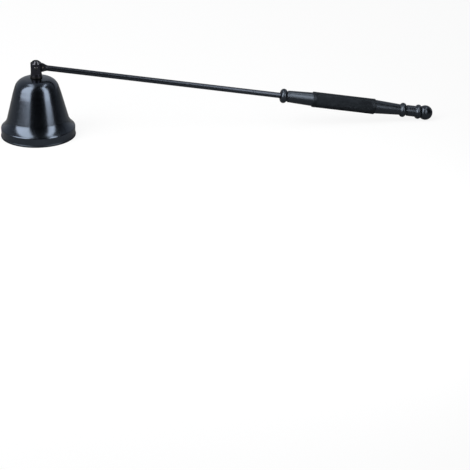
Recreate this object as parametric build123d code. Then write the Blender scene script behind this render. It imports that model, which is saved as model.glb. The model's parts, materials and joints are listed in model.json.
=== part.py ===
from build123d import *

import os
from math import asin, atan2, cos, degrees, hypot, radians, sin, sqrt, tan

# Candle snuffer: a bell that swings in a forked post at the end of a long rod with a turned handle.
# Millimetres. The bell stands on its rim, with the centre of the rim at the origin and +Z up.
# The rod runs down towards +X until the ball at its end touches the same table.

# Bell, outside of the sheet
mouth_diameter = 40.2
bell_height = 32.4
wall = 0.8
lip_height = 0.7
lip_flare = 0.32
band_height = 5.0
band_swell = 0.17
shoulder_run = 2.8
shoulder_rise = 2.45
cone_bulge = 0.3
cone_bend_run = 1.0
cone_bend_gap = 2.2
crown_diameter = 21.1
crown_slope = 7.5
rim_round = 0.22
lip_round = 0.25
waist_round = 0.4
shoulder_round = 0.8
ledge_flat = 0.6
crown_round = 6.7
seat_round = 3.0
seat_margin = 0.4

# Hinge post on the crown
post_diameter = 6.0
hinge_rise = 6.1
ear_height = 3.35
ear_chamfer_height = 1.25
ear_chamfer_width = 1.5
foot_flare = 0.3
foot_edge_height = 0.5
foot_flare_height = 2.0
foot_round = 1.0
foot_corner_round = 0.35

# Screw and washer that hold the post from inside the bell
screw_diameter = 3.0
screw_head_diameter = 5.6
screw_head_height = 1.9
screw_head_round = 0.9
drive_width = 0.7
drive_length = 3.0
drive_depth = 1.0
washer_diameter = 6.0
washer_thickness = 0.5
tap_web = 0.4
tap_runout = 0.3

# Rod, the eye pressed flat at its front end, and the pin through it
rod_diameter = 3.0
eye_spread = 2.0
eye_thickness = 1.5
eye_straight = 3.3
eye_taper_run = 2.4
eye_taper_round = 4.0
eye_flat_reach = 1.5
eye_flat_round = 0.9
pin_diameter = 2.0
pin_proud = 0.12
pin_dome = 0.25

# Handle, in order along the rod from the hinge
bead_station = 133.0
bead_width = 3.6
bead_diameter = 7.9
bead_recess_diameter = 4.2
bead_recess_depth = 0.7
groove_width = 0.6
groove_depth = 0.35
front_cone_length = 13.6
front_cone_small = 6.35
front_cone_large = 7.45
grip_length = 35.0
grip_diameter = 8.5
grip_chamfer = 0.3
grip_wall = 1.4
spigot_length = 5.0
rear_cone_length = 14.2
rear_cone_large = 7.55
rear_cone_step = -0.05
ring_width = 3.4
ring_height = 0.95
ring_cove = 0.6
neck_length = 4.7
neck_diameter = 6.0
ball_diameter = 8.0
ball_cut = 1.6
thread_length = 3.4
thread_tip_gap = 0.3
edge_break = 0.15

# Fits, all on the radius or on one side
eye_running_gap = 0.05
eye_side_gap = 0.1
eye_floor_gap = 1.1
tight_gap = 0.01
screw_hole_gap = 0.1
sleeve_gap = 0.03

# Sizes that follow from those above
mouth_radius = mouth_diameter / 2
waist_radius = mouth_radius - lip_flare
waist_height = lip_height + lip_flare
shoulder_radius = waist_radius + band_swell
cone_radius = shoulder_radius - shoulder_run
cone_height = band_height + shoulder_rise
post_radius = post_diameter / 2
foot_radius = post_radius + foot_flare
washer_radius = washer_diameter / 2
seat_radius = max(foot_radius, washer_radius) + seat_margin
ceiling_height = bell_height - wall
screw_radius = screw_diameter / 2
screw_hole_radius = screw_radius + screw_hole_gap
hinge_height = bell_height + hinge_rise
post_height = hinge_rise + ear_height
rod_radius = rod_diameter / 2
eye_diameter = rod_diameter + eye_spread
eye_radius = eye_diameter / 2
slot_width = eye_thickness + 2 * eye_side_gap
slot_floor = hinge_rise - eye_radius - eye_floor_gap
tap_depth = slot_floor - tap_web
pin_radius = pin_diameter / 2
sleeve_bore = rod_radius + sleeve_gap
spigot_radius = grip_diameter / 2 - grip_wall - sleeve_gap
front_cone_start = bead_station + bead_width
grip_start = front_cone_start + groove_width + front_cone_length
rear_cone_start = grip_start + grip_length
rear_ring_start = rear_cone_start + rear_cone_length
neck_start = rear_ring_start + ring_width
neck_radius = neck_diameter / 2
ring_radius = neck_radius + ring_height
neck_ring_start = neck_start + groove_width + neck_length
ball_start = neck_ring_start + ring_width
ball_radius = ball_diameter / 2
ball_station = ball_start + ball_radius - ball_cut
rod_end = ball_start + thread_length
rod_slope = degrees(asin((hinge_height - ball_radius) / ball_station))


def face_of(*lines):
    """The flat face inside a closed run of lines and arcs."""
    return make_face([edge for line in lines for edge in line.edges()])


def upright(*lines):
    """A solid of revolution about Z from an outline of (radius, height)."""
    return revolve(Plane.XZ * face_of(*lines), Axis.Z)


def turned(*lines):
    """A solid of revolution about X, the rod's own line, from an outline of (station, radius)."""
    return revolve(face_of(*lines), Axis.X)


def along_rod(radius, start, end):
    """A round bar on the rod's own line, for boring what the rod goes through."""
    return Pos(X=(start + end) / 2) * Rot(Y=90) * Cylinder(radius, end - start)


def across_hinge(radius, length):
    """A round bar on the hinge axis, centred on the rod."""
    return Rot(X=90) * Cylinder(radius, length)


def on_arm(solid):
    """A piece drawn along +X from the hinge, put at the slope at which the arm rests."""
    return Pos(Z=hinge_height) * Rot(Y=rod_slope) * solid


def bell():
    # The crown falls away from the post's seat, and the cone leans in from its foot to meet it
    crown_radius = crown_diameter / 2
    crown_height = bell_height - (crown_radius - seat_radius) * tan(radians(crown_slope))
    shoulder = (shoulder_radius, band_height)
    cove = (cone_radius, cone_height)
    crown = (crown_radius, crown_height)
    seat = (seat_radius, bell_height)
    top = (0, bell_height)

    # Below the crown's round the cone stands slightly proud of the straight line, then bends in
    straight_angle = atan2(cone_radius - crown_radius, crown_height - cone_height)
    crown_turn = radians(90 - crown_slope) - straight_angle
    bend_drop = crown_round * tan(crown_turn / 2) + cone_bend_gap + cone_bend_run
    bend_radius = crown_radius + bend_drop * sin(straight_angle) + cone_bulge
    bend_height = crown_height - bend_drop * cos(straight_angle)
    bend = (bend_radius, bend_height)
    cone_angle = atan2(cone_radius - bend_radius, bend_height - cone_height)
    bent_angle = atan2(bend_radius - crown_radius, crown_height - bend_height)
    bend_round = cone_bend_run / tan((bent_angle - cone_angle) / 2)

    # The cove takes up what the shoulder's round leaves of the ledge between the band and the cone
    band_lean = band_swell / (band_height - waist_height)
    ledge_angle = atan2(shoulder_run, shoulder_rise)
    shoulder_turn = ledge_angle + atan2(band_lean, 1)
    cove_turn = ledge_angle - cone_angle
    cove_share = hypot(shoulder_run, shoulder_rise) - ledge_flat - shoulder_round * tan(shoulder_turn / 2)
    cove_round = cove_share / tan(cove_turn / 2)
    rounds = [shoulder_round, cove_round, bend_round, crown_round, seat_round]

    lip_foot = (mouth_radius, 0)
    lip_top = (mouth_radius, lip_height)
    waist = (waist_radius, waist_height)
    upper = [shoulder, cove, bend, crown, seat, top]
    skin = FilletPolyline(lip_foot, lip_top, waist, *upper, radius=[lip_round, waist_round, *rounds])
    body = upright(skin, Polyline(top, (0, 0), lip_foot))

    # The lining is the sheet's thickness inside the skin, and passes straight behind the lip, a hem
    band_foot = (shoulder_radius - band_lean * (band_height + wall), -wall)
    sheet = FilletPolyline(band_foot, *upper, radius=rounds)
    lining = sheet.wire().offset_2d(wall, side=Side.LEFT, closed=False)
    lining_foot = lining.vertices().sort_by(Axis.Y)[0]
    body -= upright(lining, Polyline((0, ceiling_height), (0, lining_foot.Y), lining_foot))

    body -= Pos(Z=ceiling_height) * Cylinder(screw_hole_radius, 4 * wall)
    rim = body.faces().sort_by(Axis.Z)[0]
    return fillet(rim.edges(), rim_round)


def hinge_post():
    skin = FilletPolyline(
        (0, 0),
        (foot_radius, 0),
        (foot_radius, foot_edge_height),
        (post_radius, foot_edge_height + foot_flare_height),
        (post_radius, post_height - ear_chamfer_height),
        (post_radius - ear_chamfer_width, post_height),
        (0, post_height),
        radius=[foot_corner_round, foot_round, foot_round, edge_break, edge_break],
    )
    post = upright(skin, Polyline((0, post_height), (0, 0)))
    slot_height = post_height - slot_floor
    post -= Pos(Z=slot_floor + slot_height / 2) * Box(4 * foot_radius, slot_width, slot_height)
    post -= Pos(Z=hinge_rise) * across_hinge(pin_radius + tight_gap, 2 * post_diameter)
    post -= Pos(Z=tap_depth / 2) * Cylinder(screw_radius + tight_gap, tap_depth)
    return Pos(Z=bell_height) * post


def screw_washer():
    ring = Cylinder(washer_radius, washer_thickness) - Cylinder(screw_hole_radius, washer_thickness)
    return Pos(Z=ceiling_height - washer_thickness / 2) * ring


def bell_screw():
    head_top = ceiling_height - washer_thickness
    tip = bell_height + tap_depth - tap_runout
    head = Pos(Z=head_top - screw_head_height / 2) * Cylinder(screw_head_diameter / 2, screw_head_height)
    underside = head.edges().sort_by(Axis.Z)[0]
    head = fillet(underside, screw_head_round)
    shank = Pos(Z=(head_top + tip) / 2) * Cylinder(screw_radius, tip - head_top)
    drive = Box(drive_length, drive_width, drive_depth) + Box(drive_width, drive_length, drive_depth)
    return head + shank - Pos(Z=head_top - screw_head_height + drive_depth / 2) * drive


def hinge_pin():
    pole = post_radius + pin_proud
    edge = pole - pin_dome
    pin = turned(
        TangentArc((-pole, 0), (-edge, pin_radius), tangent=(0, 1)),
        Polyline((-edge, pin_radius), (edge, pin_radius)),
        TangentArc((pole, 0), (edge, pin_radius), tangent=(0, 1)),
        Polyline((pole, 0), (-pole, 0)),
    )
    return Pos(Z=hinge_height) * Rot(Z=90) * pin


def rod():
    # The blank is a bar with an upset end: half a ball, a short straight and a taper down to the rod
    eye_back = (-eye_radius, 0)
    eye_top = (0, eye_radius)
    skin = FilletPolyline(
        eye_top,
        (eye_straight, eye_radius),
        (eye_straight + eye_taper_run, rod_radius),
        (rod_end, rod_radius),
        (rod_end, 0),
        radius=[eye_taper_round, eye_taper_round, 0],
    )
    blank = turned(TangentArc(eye_back, eye_top, tangent=(0, 1)), skin, Polyline((rod_end, 0), eye_back))

    # Both flats end in the round corner of the tool that pressed them
    eye_flat_end = post_radius + eye_flat_reach
    flat = (eye_flat_end, eye_thickness / 2)
    corner = (eye_flat_end + eye_flat_round, eye_thickness / 2 + eye_flat_round)
    clear = corner[1] + eye_radius
    press = face_of(
        TangentArc(flat, corner, tangent=(1, 0)),
        Polyline(corner, (corner[0], clear), (-eye_diameter, clear), (-eye_diameter, flat[1]), flat),
    )
    press = extrude(press, eye_diameter, both=True)
    blank -= press
    blank -= mirror(press, Plane.XZ)
    return on_arm(blank - across_hinge(pin_radius + eye_running_gap, eye_diameter))


def front_bead():
    round_foot = bead_diameter / 2 - bead_width / 2
    front = (bead_station, round_foot)
    back = (front_cone_start, round_foot)
    bead = turned(
        ThreePointArc(front, (bead_station + bead_width / 2, bead_diameter / 2), back),
        Polyline(back, (front_cone_start, 0), (bead_station, 0), front),
    )
    bead -= along_rod(rod_radius + tight_gap, bead_station, front_cone_start)
    bead -= along_rod(bead_recess_diameter / 2, bead_station, bead_station + bead_recess_depth)
    return on_arm(bead)


def front_cone():
    shoulder = front_cone_start + groove_width
    groove_radius = front_cone_small / 2 - groove_depth
    spigot_end = grip_start + spigot_length
    skin = FilletPolyline(
        (front_cone_start, 0),
        (front_cone_start, groove_radius),
        (shoulder, groove_radius),
        (shoulder, front_cone_small / 2),
        (grip_start, front_cone_large / 2),
        (grip_start, spigot_radius),
        (spigot_end, spigot_radius),
        (spigot_end, 0),
        radius=[0, 0, edge_break, edge_break, 0, 0],
    )
    cone = turned(skin, Polyline((spigot_end, 0), (front_cone_start, 0)))
    return on_arm(cone - along_rod(sleeve_bore, front_cone_start, spigot_end))


def knurled_grip():
    sleeve = along_rod(grip_diameter / 2, grip_start, rear_cone_start)
    sleeve = chamfer(sleeve.edges().filter_by(GeomType.CIRCLE), grip_chamfer)
    return on_arm(sleeve - along_rod(spigot_radius + sleeve_gap, grip_start, rear_cone_start))


def cove_and_bead(start, base_radius):
    """Outline of a bead that a surface of base_radius runs up to through a small cove."""
    half = ring_width / 2
    middle = start + half
    round_foot = ring_radius - half
    share = ring_cove / (half + ring_cove)
    rise = base_radius + ring_cove - round_foot
    run = sqrt((half + ring_cove) ** 2 - rise**2)
    foot = (middle - run, base_radius)
    contact = (middle - run * (1 - share), round_foot + rise * (1 - share))
    back = (start + ring_width, round_foot)
    outline = [
        TangentArc(foot, contact, tangent=(1, 0)),
        ThreePointArc(contact, (middle, ring_radius), back),
    ]
    return foot, outline, back


def rear_cone():
    spigot_start = rear_cone_start - spigot_length
    foot, bead, back = cove_and_bead(rear_ring_start, neck_radius + rear_cone_step)
    skin = FilletPolyline(
        back,
        (neck_start, 0),
        (spigot_start, 0),
        (spigot_start, spigot_radius),
        (rear_cone_start, spigot_radius),
        (rear_cone_start, rear_cone_large / 2),
        foot,
        radius=[0, 0, 0, 0, edge_break],
    )
    cone = turned(skin, *bead)
    return on_arm(cone - along_rod(sleeve_bore, spigot_start, neck_start))


def neck_collar():
    shoulder = neck_start + groove_width
    groove_radius = neck_radius - groove_depth
    foot, bead, back = cove_and_bead(neck_ring_start, neck_radius)
    skin = FilletPolyline(
        back,
        (ball_start, 0),
        (neck_start, 0),
        (neck_start, groove_radius),
        (shoulder, groove_radius),
        (shoulder, neck_radius),
        foot,
        radius=[0, 0, 0, 0, edge_break],
    )
    neck = turned(skin, *bead)
    return on_arm(neck - along_rod(sleeve_bore, neck_start, ball_start))


def ball_finial():
    flat_edge = (ball_start, sqrt(ball_radius**2 - (ball_radius - ball_cut) ** 2))
    pole = (ball_station + ball_radius, 0)
    ball = turned(
        ThreePointArc(flat_edge, (ball_station, ball_radius), pole),
        Polyline(pole, (ball_start, 0), flat_edge),
    )
    return on_arm(ball - along_rod(rod_radius + tight_gap, ball_start, rod_end + thread_tip_gap))


pieces = [
    bell,
    hinge_post,
    bell_screw,
    screw_washer,
    hinge_pin,
    rod,
    front_bead,
    front_cone,
    knurled_grip,
    rear_cone,
    neck_collar,
    ball_finial,
]

os.makedirs("parts", exist_ok=True)
for piece in pieces:
    export_step(piece(), f"parts/{piece.__name__}.step")
print(f"hinge height {hinge_height:.2f} mm, arm slope {rod_slope:.3f} degrees")
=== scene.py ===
import json
import math

import bpy
import numpy as np
from mathutils import Matrix, Vector

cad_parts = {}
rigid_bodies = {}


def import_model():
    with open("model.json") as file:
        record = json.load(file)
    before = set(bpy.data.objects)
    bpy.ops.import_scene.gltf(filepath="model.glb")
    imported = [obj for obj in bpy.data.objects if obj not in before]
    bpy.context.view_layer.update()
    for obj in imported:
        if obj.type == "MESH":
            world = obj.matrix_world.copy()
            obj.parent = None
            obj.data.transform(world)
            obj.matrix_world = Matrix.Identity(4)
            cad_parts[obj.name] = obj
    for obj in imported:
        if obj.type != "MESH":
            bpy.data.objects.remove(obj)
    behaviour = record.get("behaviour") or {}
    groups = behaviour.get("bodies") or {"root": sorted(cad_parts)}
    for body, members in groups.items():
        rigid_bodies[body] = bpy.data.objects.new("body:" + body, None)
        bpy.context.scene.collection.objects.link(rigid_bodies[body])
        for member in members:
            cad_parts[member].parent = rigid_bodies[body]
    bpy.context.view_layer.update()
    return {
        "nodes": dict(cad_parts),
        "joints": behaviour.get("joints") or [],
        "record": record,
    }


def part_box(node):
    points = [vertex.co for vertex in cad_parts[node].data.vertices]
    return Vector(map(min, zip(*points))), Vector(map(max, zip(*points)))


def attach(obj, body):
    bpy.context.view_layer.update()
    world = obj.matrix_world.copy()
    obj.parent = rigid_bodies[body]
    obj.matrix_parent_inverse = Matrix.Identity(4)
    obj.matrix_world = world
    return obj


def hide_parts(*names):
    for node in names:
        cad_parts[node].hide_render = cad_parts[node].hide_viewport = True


for leftover in list(bpy.data.objects):
    bpy.data.objects.remove(leftover)

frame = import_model()
nodes = frame["nodes"]
mm = 0.001

# the arm's own line and the hinge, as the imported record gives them
gripMount = next(mount for mount in frame["record"]["mounts"] if mount["name"] == "grip")
armAxis = np.array(gripMount["axis"])
gripMiddle = np.array(gripMount["pos_m"])
hinge = np.array(frame["joints"][0]["pos_m"])
armSlope = math.asin(-armAxis[2])
hingeAlong = float(hinge @ armAxis)                 # the hinge's place along the arm's line
hingeUp = float(hinge[2] * math.cos(armSlope))      # and square to it
print("frame loaded,", len(nodes), "nodes, arm slope", round(math.degrees(armSlope), 2))


# Mesh helpers

def skinPiece(name, points, faces, sharpAngle):
    mesh = bpy.data.meshes.new(name)
    mesh.from_pydata(points, [], faces)
    mesh.polygons.foreach_set("use_smooth", np.ones(len(mesh.polygons), bool))
    mesh.set_sharp_from_angle(angle=math.radians(sharpAngle))
    mesh.validate()
    piece = bpy.data.objects.new(name, mesh)
    bpy.context.scene.collection.objects.link(piece)
    return piece


def ringPiece(name, points, sharpAngle):
    # points is (rows, columns, 3) and closes in both directions, so the skin has no border
    rows, columns = points.shape[:2]
    index = np.arange(rows * columns).reshape(rows, columns)
    right = np.roll(index, -1, axis=1)
    below = np.roll(index, -1, axis=0)
    belowRight = np.roll(right, -1, axis=0)
    quads = np.stack([index, right, belowRight, below], axis=-1).reshape(-1, 4)
    return skinPiece(name, points.reshape(-1, 3), quads.tolist(), sharpAngle)


def poledPiece(name, points, firstPole, lastPole, sharpAngle):
    # points is (rows, columns, 3), closed round the columns, with a fan from each end row to its pole
    rows, columns = points.shape[:2]
    index = np.arange(rows * columns).reshape(rows, columns)
    right = np.roll(index, -1, axis=1)
    quads = np.stack([index[:-1], right[:-1], right[1:], index[1:]], axis=-1).reshape(-1, 4)
    poles = rows * columns + np.array([[0], [1]]) * np.ones((1, columns), int)
    firstFan = np.stack([poles[0], right[0], index[0]], axis=-1)
    lastFan = np.stack([poles[1], index[-1], right[-1]], axis=-1)
    allPoints = np.concatenate([points.reshape(-1, 3), [firstPole], [lastPole]])
    faces = quads.tolist() + firstFan.tolist() + lastFan.tolist()
    return skinPiece(name, allPoints, faces, sharpAngle)


def armPoints(station, radius, angle):
    # a point this far along the arm from the grip's middle, this far from its line, at this angle round it
    side = np.array([0.0, 1.0, 0.0])
    upward = np.cross(armAxis, side)
    around = np.cos(angle)[..., None] * side + np.sin(angle)[..., None] * upward
    return gripMiddle + station[..., None] * armAxis + radius[..., None] * around


# Knurled grip

knurlSet = {
    "starts": 34,            # grooves of each hand round the sleeve
    "helix": 30.0,           # degrees between a groove and the arm
    "depth": 0.23 * mm,
    "crestFlat": 1.12,       # over 1 leaves a small flat on each crest
    "plainBand": 1.7 * mm,
    "runOut": 0.5 * mm,
    "chamfer": 0.3 * mm,
    "bore": 2.85 * mm,
    "steps": 6,              # mesh steps from groove to groove
    "sharp": 25,             # degrees from which an edge is drawn sharp
}


def makeGrip(knurl):
    # Two families of grooves wind round the sleeve in opposite hands. The height over the groove floor is
    # the lesser of two triangle waves, one in angle plus station and one in angle minus station, and that
    # leaves rows of pyramids.
    outside = gripMount["dims"]["r_mm"] * mm
    half = gripMount["dims"]["length_mm"] * mm / 2 + knurl["chamfer"]
    pitch = 2 * math.pi * outside / knurl["starts"]
    period = pitch / math.tan(math.radians(knurl["helix"]))
    start = half - knurl["plainBand"]
    station = np.linspace(-start, start, int(round(2 * start / period * knurl["steps"])) + 1)
    angle = np.linspace(0, 2 * math.pi, knurl["starts"] * knurl["steps"], endpoint=False)
    turns = knurl["starts"] * angle[None, :] / (2 * math.pi)
    along = station[:, None] / period

    def wave(x):
        return 1 - np.abs(2 * (x % 1) - 1)

    height = np.minimum(wave(turns + along), wave(turns - along))
    height = np.minimum(height * knurl["crestFlat"], 1)
    fade = np.clip((start - np.abs(station)) / knurl["runOut"], 0, 1)
    knurled = outside - knurl["depth"] * fade[:, None] * (1 - height)

    # the ends: bore, face, chamfer and plain band, the same on both sides
    endStation = np.array([half, half, half - knurl["chamfer"]])
    endRadius = np.array([knurl["bore"], outside - knurl["chamfer"], outside])
    stations = np.concatenate([-endStation, station, endStation[::-1]])
    plain = np.ones((1, len(angle)))
    radii = np.concatenate([endRadius[:, None] * plain, knurled, endRadius[::-1, None] * plain])
    points = armPoints(stations[:, None] * plain, radii, angle[None, :] * np.ones((len(stations), 1)))
    return ringPiece("knurledGrip", points[::-1], knurl["sharp"])


grip = makeGrip(knurlSet)
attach(grip, "handle_arm")
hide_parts("knurled_grip")
print("knurled grip", len(grip.data.polygons), "faces")


# Hinge pin, peened over at both ends

pinSet = {
    "columns": 56,
    "endRows": 16,
    "dome": 0.3 * mm,        # height of each end over its edge
    "punch": 0.1 * mm,       # depth of the centre punch
    "punchWidth": 0.24 * mm,
    "marks": 8,              # hammer marks on each end
    "markDepth": 0.15 * mm,
    "markWidth": 0.19 * mm,
    "markWander": 0.7,       # how far a mark may stray towards the next one round the end
    "markOut": (0.5, 0.8),   # where a mark lies, in shares of the pin's radius
    "markShare": (0.4, 1.0),     # how deep a mark is, in shares of markDepth
    "seed": 5,
    "sharp": 50,             # degrees from which an edge is drawn sharp
}


def makePin(peen):
    # A round bar across the hinge. Each end is a low dome, half an ellipse over the radius, less a round
    # dent in the middle and smaller ones scattered on it, each a bell curve of the distance from its centre.
    low, high = (np.array(corner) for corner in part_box("hinge_pin"))
    middle = (low + high) / 2
    radius = (high[2] - low[2]) / 2
    halfLength = (high[1] - low[1]) / 2
    rng = np.random.default_rng(peen["seed"])
    angle = np.linspace(0, 2 * math.pi, peen["columns"], endpoint=False)
    share = np.sin(np.linspace(0, math.pi / 2, peen["endRows"] + 1))

    def endFace(share):
        x = share * radius * np.cos(angle)
        z = share * radius * np.sin(angle)
        rise = peen["dome"] * np.sqrt(np.maximum(1 - share**2, 0)) - peen["dome"]
        dent = peen["punch"] * np.exp(-(x**2 + z**2) / peen["punchWidth"]**2)
        markTurn = np.arange(peen["marks"]) + rng.uniform(0, peen["markWander"], peen["marks"])
        markAngle = 2 * math.pi * markTurn / peen["marks"]
        markOut = radius * rng.uniform(*peen["markOut"], peen["marks"])
        markX = markOut * np.cos(markAngle)
        markZ = markOut * np.sin(markAngle)
        deep = peen["markDepth"] * rng.uniform(*peen["markShare"], peen["marks"])
        away = (x[..., None] - markX)**2 + (z[..., None] - markZ)**2
        dent = dent + (deep * np.exp(-away / peen["markWidth"]**2)).sum(-1)
        return x, z, halfLength + rise - dent

    grid = share[:, None] * np.ones((1, len(angle)))
    ends = []
    for side in (-1, 1):
        x, z, out = endFace(grid)
        ends.append(middle + np.stack([x, side * out, z], axis=-1))
    points = np.concatenate([ends[0][1:], ends[1][:0:-1]])
    return poledPiece("peenedPin", points, ends[0][0, 0], ends[1][0, 0], peen["sharp"])


pin = makePin(pinSet)
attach(pin, "swinging_bell")
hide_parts("hinge_pin")
print("peened pin", len(pin.data.polygons), "faces")


# Shader helpers

def newNode(tree, kind, settings=None, **inputs):
    # an input is given by its name, or by its number after an i, as a value or as another node's output
    node = tree.nodes.new(kind)
    for name, value in (settings or {}).items():
        setattr(node, name, value)
    for name, value in inputs.items():
        socket = node.inputs[int(name[1:])] if name[1:].isdigit() else node.inputs[name]
        if isinstance(value, bpy.types.NodeSocket):
            tree.links.new(value, socket)
        else:
            socket.default_value = value
    return node


def mathNode(tree, operation, first, second, third=0.0):
    settings = {"operation": operation}
    return newNode(tree, "ShaderNodeMath", settings, i0=first, i1=second, i2=third).outputs[0]


def rampNode(tree, value, start, end, low=0.0, high=1.0, shape="SMOOTHSTEP"):
    # goes from low to high while the value goes from start to end
    settings = {"interpolation_type": shape}
    ramp = newNode(tree, "ShaderNodeMapRange", settings, i0=value, i1=start, i2=end, i3=low, i4=high)
    return ramp.outputs[0]


def mixValue(tree, share, first, second):
    settings = {"data_type": "FLOAT"}
    return newNode(tree, "ShaderNodeMix", settings, Factor=share, i2=first, i3=second).outputs[0]


def mixColour(tree, share, first, second):
    settings = {"data_type": "RGBA"}
    return newNode(tree, "ShaderNodeMix", settings, Factor=share, i6=first, i7=second).outputs[2]


def noiseNode(tree, place, scale, detail):
    return newNode(tree, "ShaderNodeTexNoise", Vector=place, Scale=scale, Detail=detail).outputs[0]


def lineNoiseNode(tree, along, scale, detail):
    settings = {"noise_dimensions": "1D"}
    return newNode(tree, "ShaderNodeTexNoise", settings, W=along, Scale=scale, Detail=detail).outputs[0]


def groupNode(tree, group, **inputs):
    return newNode(tree, "ShaderNodeGroup", {"node_tree": group}, **inputs).outputs


def newGroup(name, vectors, numbers, outputs):
    tree = bpy.data.node_groups.new(name, "ShaderNodeTree")
    sockets = [(label, "INPUT", "NodeSocketVector") for label in vectors]
    sockets += [(label, "INPUT", "NodeSocketFloat") for label in numbers]
    sockets += [(label, "OUTPUT", "NodeSocketFloat") for label in outputs]
    for label, direction, kind in sockets:
        tree.interface.new_socket(label, in_out=direction, socket_type=kind)
    return tree, tree.nodes.new("NodeGroupInput").outputs, tree.nodes.new("NodeGroupOutput").inputs


# Shared effects

effectSet = {
    "grain": 6000.0,         # scale of the lacquer's fine grain
    "grainShare": 0.25,      # height of the grain against that of the swell
    "patches": 120.0,        # scale of the glossier and duller patches
    "slowRings": 0.13,       # scale of the rings in the gloss against those in the height
    "wander": 260.0,         # scale of the unevenness in the edge of a band of painted shade or painted highlight
}


def makePeelGroup(effect):
    # sprayed lacquer: a slow swell of the film, a fine grain in it, and patches a little more or less glossy
    tree, given, out = newGroup("lacquerPeel", ["Vector"], ["Peel"], ["Height", "Gloss", "Tone"])
    swell = noiseNode(tree, given["Vector"], given["Peel"], detail=2.0)
    grain = noiseNode(tree, given["Vector"], effect["grain"], detail=1.0)
    patch = noiseNode(tree, given["Vector"], effect["patches"], detail=3.0)
    tree.links.new(mathNode(tree, "MULTIPLY_ADD", grain, effect["grainShare"], swell), out["Height"])
    tree.links.new(patch, out["Gloss"])
    tree.links.new(mathNode(tree, "MULTIPLY", patch, grain), out["Tone"])
    return tree


def makeLatheGroup(effect):
    # fine rings that a lathe tool leaves: a noise read only along the axis of the turned piece
    tree, given, out = newGroup("latheRings", [], ["Along", "Spacing"], ["Height", "Gloss"])
    turns = mathNode(tree, "DIVIDE", given["Along"], given["Spacing"])
    tree.links.new(lineNoiseNode(tree, turns, 1.0, detail=2.0), out["Height"])
    tree.links.new(lineNoiseNode(tree, turns, effect["slowRings"], detail=1.0), out["Gloss"])
    return tree


def makePaintedLightBandGroup(effect):
    # a band between two heights with an uneven edge, where a finish paints shade or a highlight into its
    # colour and changes its roughness
    tree, given, out = newGroup("paintedLightBandMask", ["Vector"], ["Height", "Clear", "Full", "Unevenness"], ["Mask"])
    wander = noiseNode(tree, given["Vector"], effect["wander"], detail=2.0)
    swing = mathNode(tree, "SUBTRACT", wander, 0.5)
    shift = mathNode(tree, "MULTIPLY_ADD", swing, given["Unevenness"], given["Height"])
    tree.links.new(rampNode(tree, shift, given["Clear"], given["Full"]), out["Mask"])
    return tree


peelGroup = makePeelGroup(effectSet)
latheGroup = makeLatheGroup(effectSet)
paintedLightBandGroup = makePaintedLightBandGroup(effectSet)


# Materials

def spotMask(tree, axes, spot):
    # an oval round a point on the arm's side: 1 in the middle, fading to 0 at its edge
    scaled = []
    for axis, middle, size in zip((axes["X"], axes["Z"]), spot["middle"], spot["size"]):
        scaled.append(mathNode(tree, "DIVIDE", mathNode(tree, "SUBTRACT", axis, middle), size))
    offset = newNode(tree, "ShaderNodeCombineXYZ", X=scaled[0], Z=scaled[1]).outputs[0]
    away = newNode(tree, "ShaderNodeVectorMath", {"operation": "LENGTH"}, i0=offset).outputs["Value"]
    return rampNode(tree, away, *spot["fade"])


def blackened(name, finish):
    # blackened metal, a dark and slightly blue mirror colour, with lathe rings along the arm or upright
    material = bpy.data.materials.new(name)
    material.use_nodes = True
    tree = material.node_tree
    shader = tree.nodes["Principled BSDF"]
    shader.inputs["Metallic"].default_value = 1.0
    place = newNode(tree, "ShaderNodeTexCoord").outputs["Object"]
    if finish["lathe"] == "arm":
        place = newNode(tree, "ShaderNodeMapping", Vector=place, Rotation=(0, -armSlope, 0)).outputs[0]
    axes = newNode(tree, "ShaderNodeSeparateXYZ", Vector=place).outputs
    along = axes["X"] if finish["lathe"] == "arm" else axes["Z"]
    peel = groupNode(tree, peelGroup, Vector=place, Peel=finish["peel"])
    rings = groupNode(tree, latheGroup, Along=along, Spacing=finish["spacing"])

    tone = rampNode(tree, peel["Tone"], *finish["toneRange"], shape="LINEAR")
    colour = mixColour(tree, tone, (*finish["dark"], 1), (*finish["light"], 1))
    # both glosses are 0.5 on average, so half of what they add comes off first
    even = finish["roughness"] - 0.5 * (finish["patchiness"] + finish["ringGloss"])
    rough = mathNode(tree, "MULTIPLY_ADD", peel["Gloss"], finish["patchiness"], even)
    rough = mathNode(tree, "MULTIPLY_ADD", rings["Gloss"], finish["ringGloss"], rough)

    # each band between two places along the axis of the rings has another colour, which is painted shade or
    # a painted highlight, and is duller, or glossier where its dulling is below zero
    for dullAndPaintedLightBand in finish["dullAndPaintedLightBands"]:
        limits = {socket: dullAndPaintedLightBand[socket.lower()] for socket in ("Clear", "Full", "Unevenness")}
        band = groupNode(tree, paintedLightBandGroup, Vector=place, Height=along, **limits)["Mask"]
        colour = mixColour(tree, band, colour, (*dullAndPaintedLightBand["colour"], 1))
        rough = mathNode(tree, "MULTIPLY_ADD", band, dullAndPaintedLightBand["dulling"], rough)
    # a brownish spot of bare metal whose brightness is a painted highlight
    if "bareSpotAndPaintedHighlight" in finish:
        spot = finish["bareSpotAndPaintedHighlight"]
        colour = mixColour(tree, spotMask(tree, axes, spot), colour, (*spot["colour"], 1))

    ringBump = newNode(tree, "ShaderNodeBump", Height=rings["Height"], Strength=finish["ringBump"])
    peelBump = newNode(tree, "ShaderNodeBump", Height=peel["Height"], Strength=finish["peelBump"])
    for bump in (ringBump, peelBump):
        bump.inputs["Distance"].default_value = finish["bumpHeight"]
    tree.links.new(ringBump.outputs[0], peelBump.inputs["Normal"])
    tree.links.new(peelBump.outputs[0], shader.inputs["Normal"])
    tree.links.new(colour, shader.inputs["Base Color"])
    tree.links.new(rough, shader.inputs["Roughness"])
    return material


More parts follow.
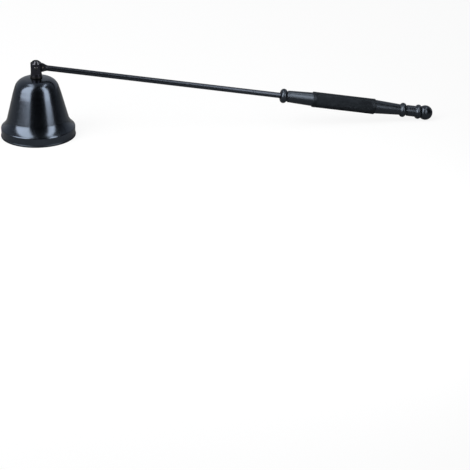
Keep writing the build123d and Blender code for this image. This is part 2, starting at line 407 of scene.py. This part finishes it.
bellFinish = {
    "dark": (0.059, 0.07, 0.0875),
    "light": (0.071, 0.084, 0.106),
    "toneRange": (0.1, 0.4),     # the lacquer's tone where the colour is dark and where it is light
    "lathe": "upright",
    "spacing": 0.22 * mm,        # from ring to ring
    "peel": 2600.0,              # scale of the swell
    "roughness": 0.2,
    "patchiness": 0.04,          # how far the patches change the roughness, and then the rings
    "ringGloss": 0.04,
    "ringBump": 0.08,
    "peelBump": 0.2,
    "bumpHeight": 0.02 * mm,
    # the rim, rubbed dull where it stands on things; its darker colour is painted shade that dims the
    # reflections along the lip
    "dullAndPaintedLightBands": [{
        "clear": 1.25 * mm, "full": 0.75 * mm, "unevenness": 0.35 * mm,
        "colour": (0.026, 0.031, 0.037), "dulling": 0.26,
    }],
}
plainFinish = dict(bellFinish, dullAndPaintedLightBands=[])
postFinish = dict(
    plainFinish, roughness=0.25, spacing=0.15 * mm, dark=(0.036, 0.036, 0.047), light=(0.046, 0.046, 0.058),
    dullAndPaintedLightBands=[
        # painted shade in the corner where the post meets the crown, which is also a little duller there
        {"clear": hinge[2] - 4.4 * mm, "full": hinge[2] - 5.2 * mm, "unevenness": 0.4 * mm,
         "colour": (0.024, 0.023, 0.024), "dulling": 0.15},
        # a painted highlight on the chamfered tops of the ears: a lighter colour, a little glossier
        {"clear": hinge[2] + 1.95 * mm, "full": hinge[2] + 2.15 * mm, "unevenness": 0.15 * mm,
         "colour": (0.085, 0.085, 0.095), "dulling": -0.05},
    ],
)
pinFinish = dict(plainFinish, roughness=0.22, dark=(0.075, 0.077, 0.083), light=(0.12, 0.12, 0.124))
rodFinish = dict(
    plainFinish, lathe="arm", roughness=0.28, ringBump=0.0, peelBump=0.008, patchiness=0.02, ringGloss=0.02,
    dark=(0.0455, 0.0525, 0.064), light=(0.05, 0.057, 0.0695),
    # the pressed eye and the taper behind it, left dull by the tool; their darker colour is painted shade
    # that takes out a highlight there
    dullAndPaintedLightBands=[{
        "clear": hingeAlong + 8.5 * mm, "full": hingeAlong + 6.5 * mm, "unevenness": 0.8 * mm,
        "colour": (0.03, 0.0325, 0.037), "dulling": 0.17,
    }],
    # bare brownish metal where the eye rubs on the edges of the ears, made light enough to be a painted
    # highlight; it fades between two shares of its size
    bareSpotAndPaintedHighlight={
        "middle": (hingeAlong + 3.65 * mm, hingeUp + 0.2 * mm), "size": (0.3 * mm, 0.55 * mm),
        "fade": (1.2, 0.5), "colour": (0.3, 0.255, 0.22),
    },
)
handleFinish = dict(
    plainFinish, lathe="arm", roughness=0.31, ringBump=0.02, peelBump=0.06, spacing=0.18 * mm,
    dark=(0.0505, 0.0592, 0.071), light=(0.06, 0.0698, 0.0834),
)
knurlFinish = dict(
    plainFinish, lathe="arm", roughness=0.5, dark=(0.0215, 0.025, 0.03), light=(0.032, 0.0372, 0.0435),
)
fastenerFinish = dict(plainFinish, roughness=0.38, dark=(0.1, 0.1, 0.1), light=(0.2, 0.2, 0.2), ringBump=0.2)

bellLacquer = blackened("bellLacquer", bellFinish)
postLacquer = blackened("postLacquer", postFinish)
pinLacquer = blackened("pinLacquer", pinFinish)
rodLacquer = blackened("rodLacquer", rodFinish)
handleLacquer = blackened("handleLacquer", handleFinish)
knurlLacquer = blackened("knurlLacquer", knurlFinish)
fastenerBlack = blackened("fastenerBlack", fastenerFinish)

finishes = {
    "bell": bellLacquer, "hinge_post": postLacquer, "hinge_pin": pinLacquer, "rod": rodLacquer,
    "front_bead": handleLacquer, "front_cone": handleLacquer, "rear_cone": handleLacquer,
    "neck_collar": handleLacquer, "ball_finial": handleLacquer, "knurled_grip": knurlLacquer,
    "bell_screw": fastenerBlack, "screw_washer": fastenerBlack,
}
for name, material in finishes.items():
    nodes[name].data.materials.clear()
    nodes[name].data.materials.append(material)
grip.data.materials.append(knurlLacquer)
pin.data.materials.append(pinLacquer)
print("materials on", len(finishes), "nodes")


# Stage: floor, world, soft boxes and camera

stageSet = {
    "floorHalf": 3.0,
    "white": (1, 1, 1, 1),
    "pale": (0.8, 0.8, 0.8, 1),
    "mirrored": (0.235, 0.235, 0.235, 1),   # the floor's colour as the metal shows it
    "whiteShare": 0.86,       # how much of the floor is plain white to the camera; the rest takes the shadow
    "ambient": 0.25,          # light that the world gives to matt surfaces
    "behind": 0.47,           # brightness of the wall behind, in reflections
    "front": 0.014,           # and of the dark room on the camera's side
    "wallFade": (-0.3, 0.8),  # how far back a direction points where the wall begins and where it is full
    "wallTint": (0.95, 1.0, 1.08, 1),
}


def makeFloor(stage):
    half = stage["floorHalf"]
    corners = [(-half, -half, 0), (half, -half, 0), (half, half, 0), (-half, half, 0)]
    mesh = bpy.data.meshes.new("floor")
    mesh.from_pydata(corners, [], [(0, 1, 2, 3)])
    floor = bpy.data.objects.new("floor", mesh)
    bpy.context.scene.collection.objects.link(floor)
    material = bpy.data.materials.new("paleFloor")
    material.use_nodes = True
    tree = material.node_tree
    tree.nodes.clear()
    rays = newNode(tree, "ShaderNodeLightPath").outputs
    reflected = mathNode(tree, "MAXIMUM", rays["Is Glossy Ray"], rays["Is Transmission Ray"])
    colour = mixColour(tree, reflected, stage["pale"], stage["mirrored"])
    matt = newNode(tree, "ShaderNodeBsdfDiffuse", Color=colour).outputs[0]
    white = newNode(tree, "ShaderNodeEmission", Color=stage["white"], Strength=1.0).outputs[0]
    share = mathNode(tree, "MULTIPLY", rays["Is Camera Ray"], stage["whiteShare"])
    shown = newNode(tree, "ShaderNodeMixShader", i0=share, i1=matt, i2=white).outputs[0]
    clear = newNode(tree, "ShaderNodeBsdfTransparent").outputs[0]
    fromBelow = newNode(tree, "ShaderNodeNewGeometry").outputs["Backfacing"]
    both = newNode(tree, "ShaderNodeMixShader", i0=fromBelow, i1=shown, i2=clear).outputs[0]
    newNode(tree, "ShaderNodeOutputMaterial", Surface=both)
    mesh.materials.append(material)


def makeWorld(stage):
    # white to the camera; in reflections a pale wall behind that fades to a dark room on the camera's side
    world = bpy.data.worlds.new("studio")
    bpy.context.scene.world = world
    world.use_nodes = True
    tree = world.node_tree
    tree.nodes.clear()
    rays = newNode(tree, "ShaderNodeLightPath").outputs
    direction = newNode(tree, "ShaderNodeTexCoord").outputs["Generated"]
    depth = newNode(tree, "ShaderNodeSeparateXYZ", Vector=direction).outputs["Y"]
    wall = rampNode(tree, depth, *stage["wallFade"], stage["front"], stage["behind"])
    lit = mixValue(tree, rays["Is Glossy Ray"], stage["ambient"], wall)
    direct = mathNode(tree, "MAXIMUM", rays["Is Camera Ray"], rays["Is Transmission Ray"])
    strength = mixValue(tree, direct, lit, 1.0)
    tint = mixColour(tree, rays["Is Glossy Ray"], stage["white"], stage["wallTint"])
    light = newNode(tree, "ShaderNodeBackground", Color=tint, Strength=strength).outputs[0]
    newNode(tree, "ShaderNodeOutputWorld", Surface=light)


# Upright panels stand over a line between two ends, each given by its azimuth and distance from the bell
# and by the height of the panel's lower edge there; overhead panels are flat. Azimuth 0 is in front of the
# bell, towards -Y, and positive towards the handle.
uprightBoxes = {
    "leftBox": {"ends": [(-86.0, 0.79, 0.096), (-33.0, 0.555, 0.096)], "tall": 1.4, "radiance": 5.45},
    "rightBox": {"ends": [(34.7, 0.36, 0.054), (58.5, 0.285, 0.0403)], "tall": 0.6, "radiance": 5.4},
}
overheadBoxes = {
    "overLeft": {"middle": (-0.29, 0.1), "size": (0.26, 0.62), "height": 1.0, "radiance": 3.6},
    "overRight": {"middle": (0.48, 0.11), "size": (0.16, 0.5), "height": 1.0, "radiance": 4.2},
}
boxColour = (0.98, 0.99, 1.0)


def makePanel(name, middle, across, facing, size, radiance):
    lamp = bpy.data.lights.new(name, "AREA")
    lamp.shape = "RECTANGLE"
    lamp.size, lamp.size_y = size
    lamp.color = boxColour
    lamp.energy = radiance * math.pi * size[0] * size[1]
    holder = bpy.data.objects.new(name, lamp)
    holder.location = middle
    holder.rotation_mode = "QUATERNION"
    holder.rotation_quaternion = Matrix((across, across.cross(facing), -facing)).transposed().to_quaternion()
    holder.visible_camera = False
    bpy.context.scene.collection.objects.link(holder)


def makeUprightBox(name, box):
    ends = []
    for azimuth, distance, lowerEdge in box["ends"]:
        azimuth = math.radians(azimuth)
        ends.append(Vector((math.sin(azimuth) * distance, -math.cos(azimuth) * distance, lowerEdge)))
    run = ends[1] - ends[0]
    across = run.normalized()
    facing = Vector((0, 0, 1)).cross(across).normalized()
    # the panel faces the bell
    if facing.dot(ends[0]) > 0:
        across, facing = -across, -facing
    middle = (ends[0] + ends[1]) / 2 + across.cross(facing) * box["tall"] / 2
    makePanel(name, middle, across, facing, (run.length, box["tall"]), box["radiance"])


def makeOverheadBox(name, box):
    middle = Vector((*box["middle"], box["height"]))
    makePanel(name, middle, Vector((1, 0, 0)), Vector((0, 0, -1)), box["size"], box["radiance"])


cameraSet = {
    "aim": (99.3 * mm, -11.5 * mm, 15.0 * mm),
    "azimuth": 6.43,
    "elevation": 19.98,
    "distance": 1101.7 * mm,
    "lens": 157.14,
    "sensor": 36.0,
    "aimPixel": (224.1, 108.6),
    "pictureSide": 470,
}


def makeCamera(view):
    # looks past the aim so far that the aim falls on its own pixel, with no lens shift
    azimuth = math.radians(view["azimuth"])
    elevation = math.radians(view["elevation"])
    level = Vector((math.sin(azimuth), math.cos(azimuth), 0))
    toward = level * math.cos(elevation) - Vector((0, 0, math.sin(elevation)))
    data = bpy.data.cameras.new("camera")
    data.sensor_width = view["sensor"]
    data.lens = view["lens"]
    focal = view["lens"] / view["sensor"] * view["pictureSide"]
    across = view["aimPixel"][0] - view["pictureSide"] / 2
    down = view["aimPixel"][1] - view["pictureSide"] / 2
    offAxis = Vector((across / focal, -down / focal, -1)).normalized()
    camera = bpy.data.objects.new("camera", data)
    camera.location = Vector(view["aim"]) - toward * view["distance"]
    camera.rotation_mode = "QUATERNION"
    turn = offAxis.rotation_difference(Vector((0, 0, -1)))
    camera.rotation_quaternion = toward.to_track_quat("-Z", "Y") @ turn
    bpy.context.scene.collection.objects.link(camera)
    bpy.context.scene.camera = camera


makeFloor(stageSet)
makeWorld(stageSet)
for name, box in uprightBoxes.items():
    makeUprightBox(name, box)
for name, box in overheadBoxes.items():
    makeOverheadBox(name, box)
makeCamera(cameraSet)
bpy.context.scene.view_settings.view_transform = "Standard"
print("stage with", len(uprightBoxes) + len(overheadBoxes), "soft boxes")
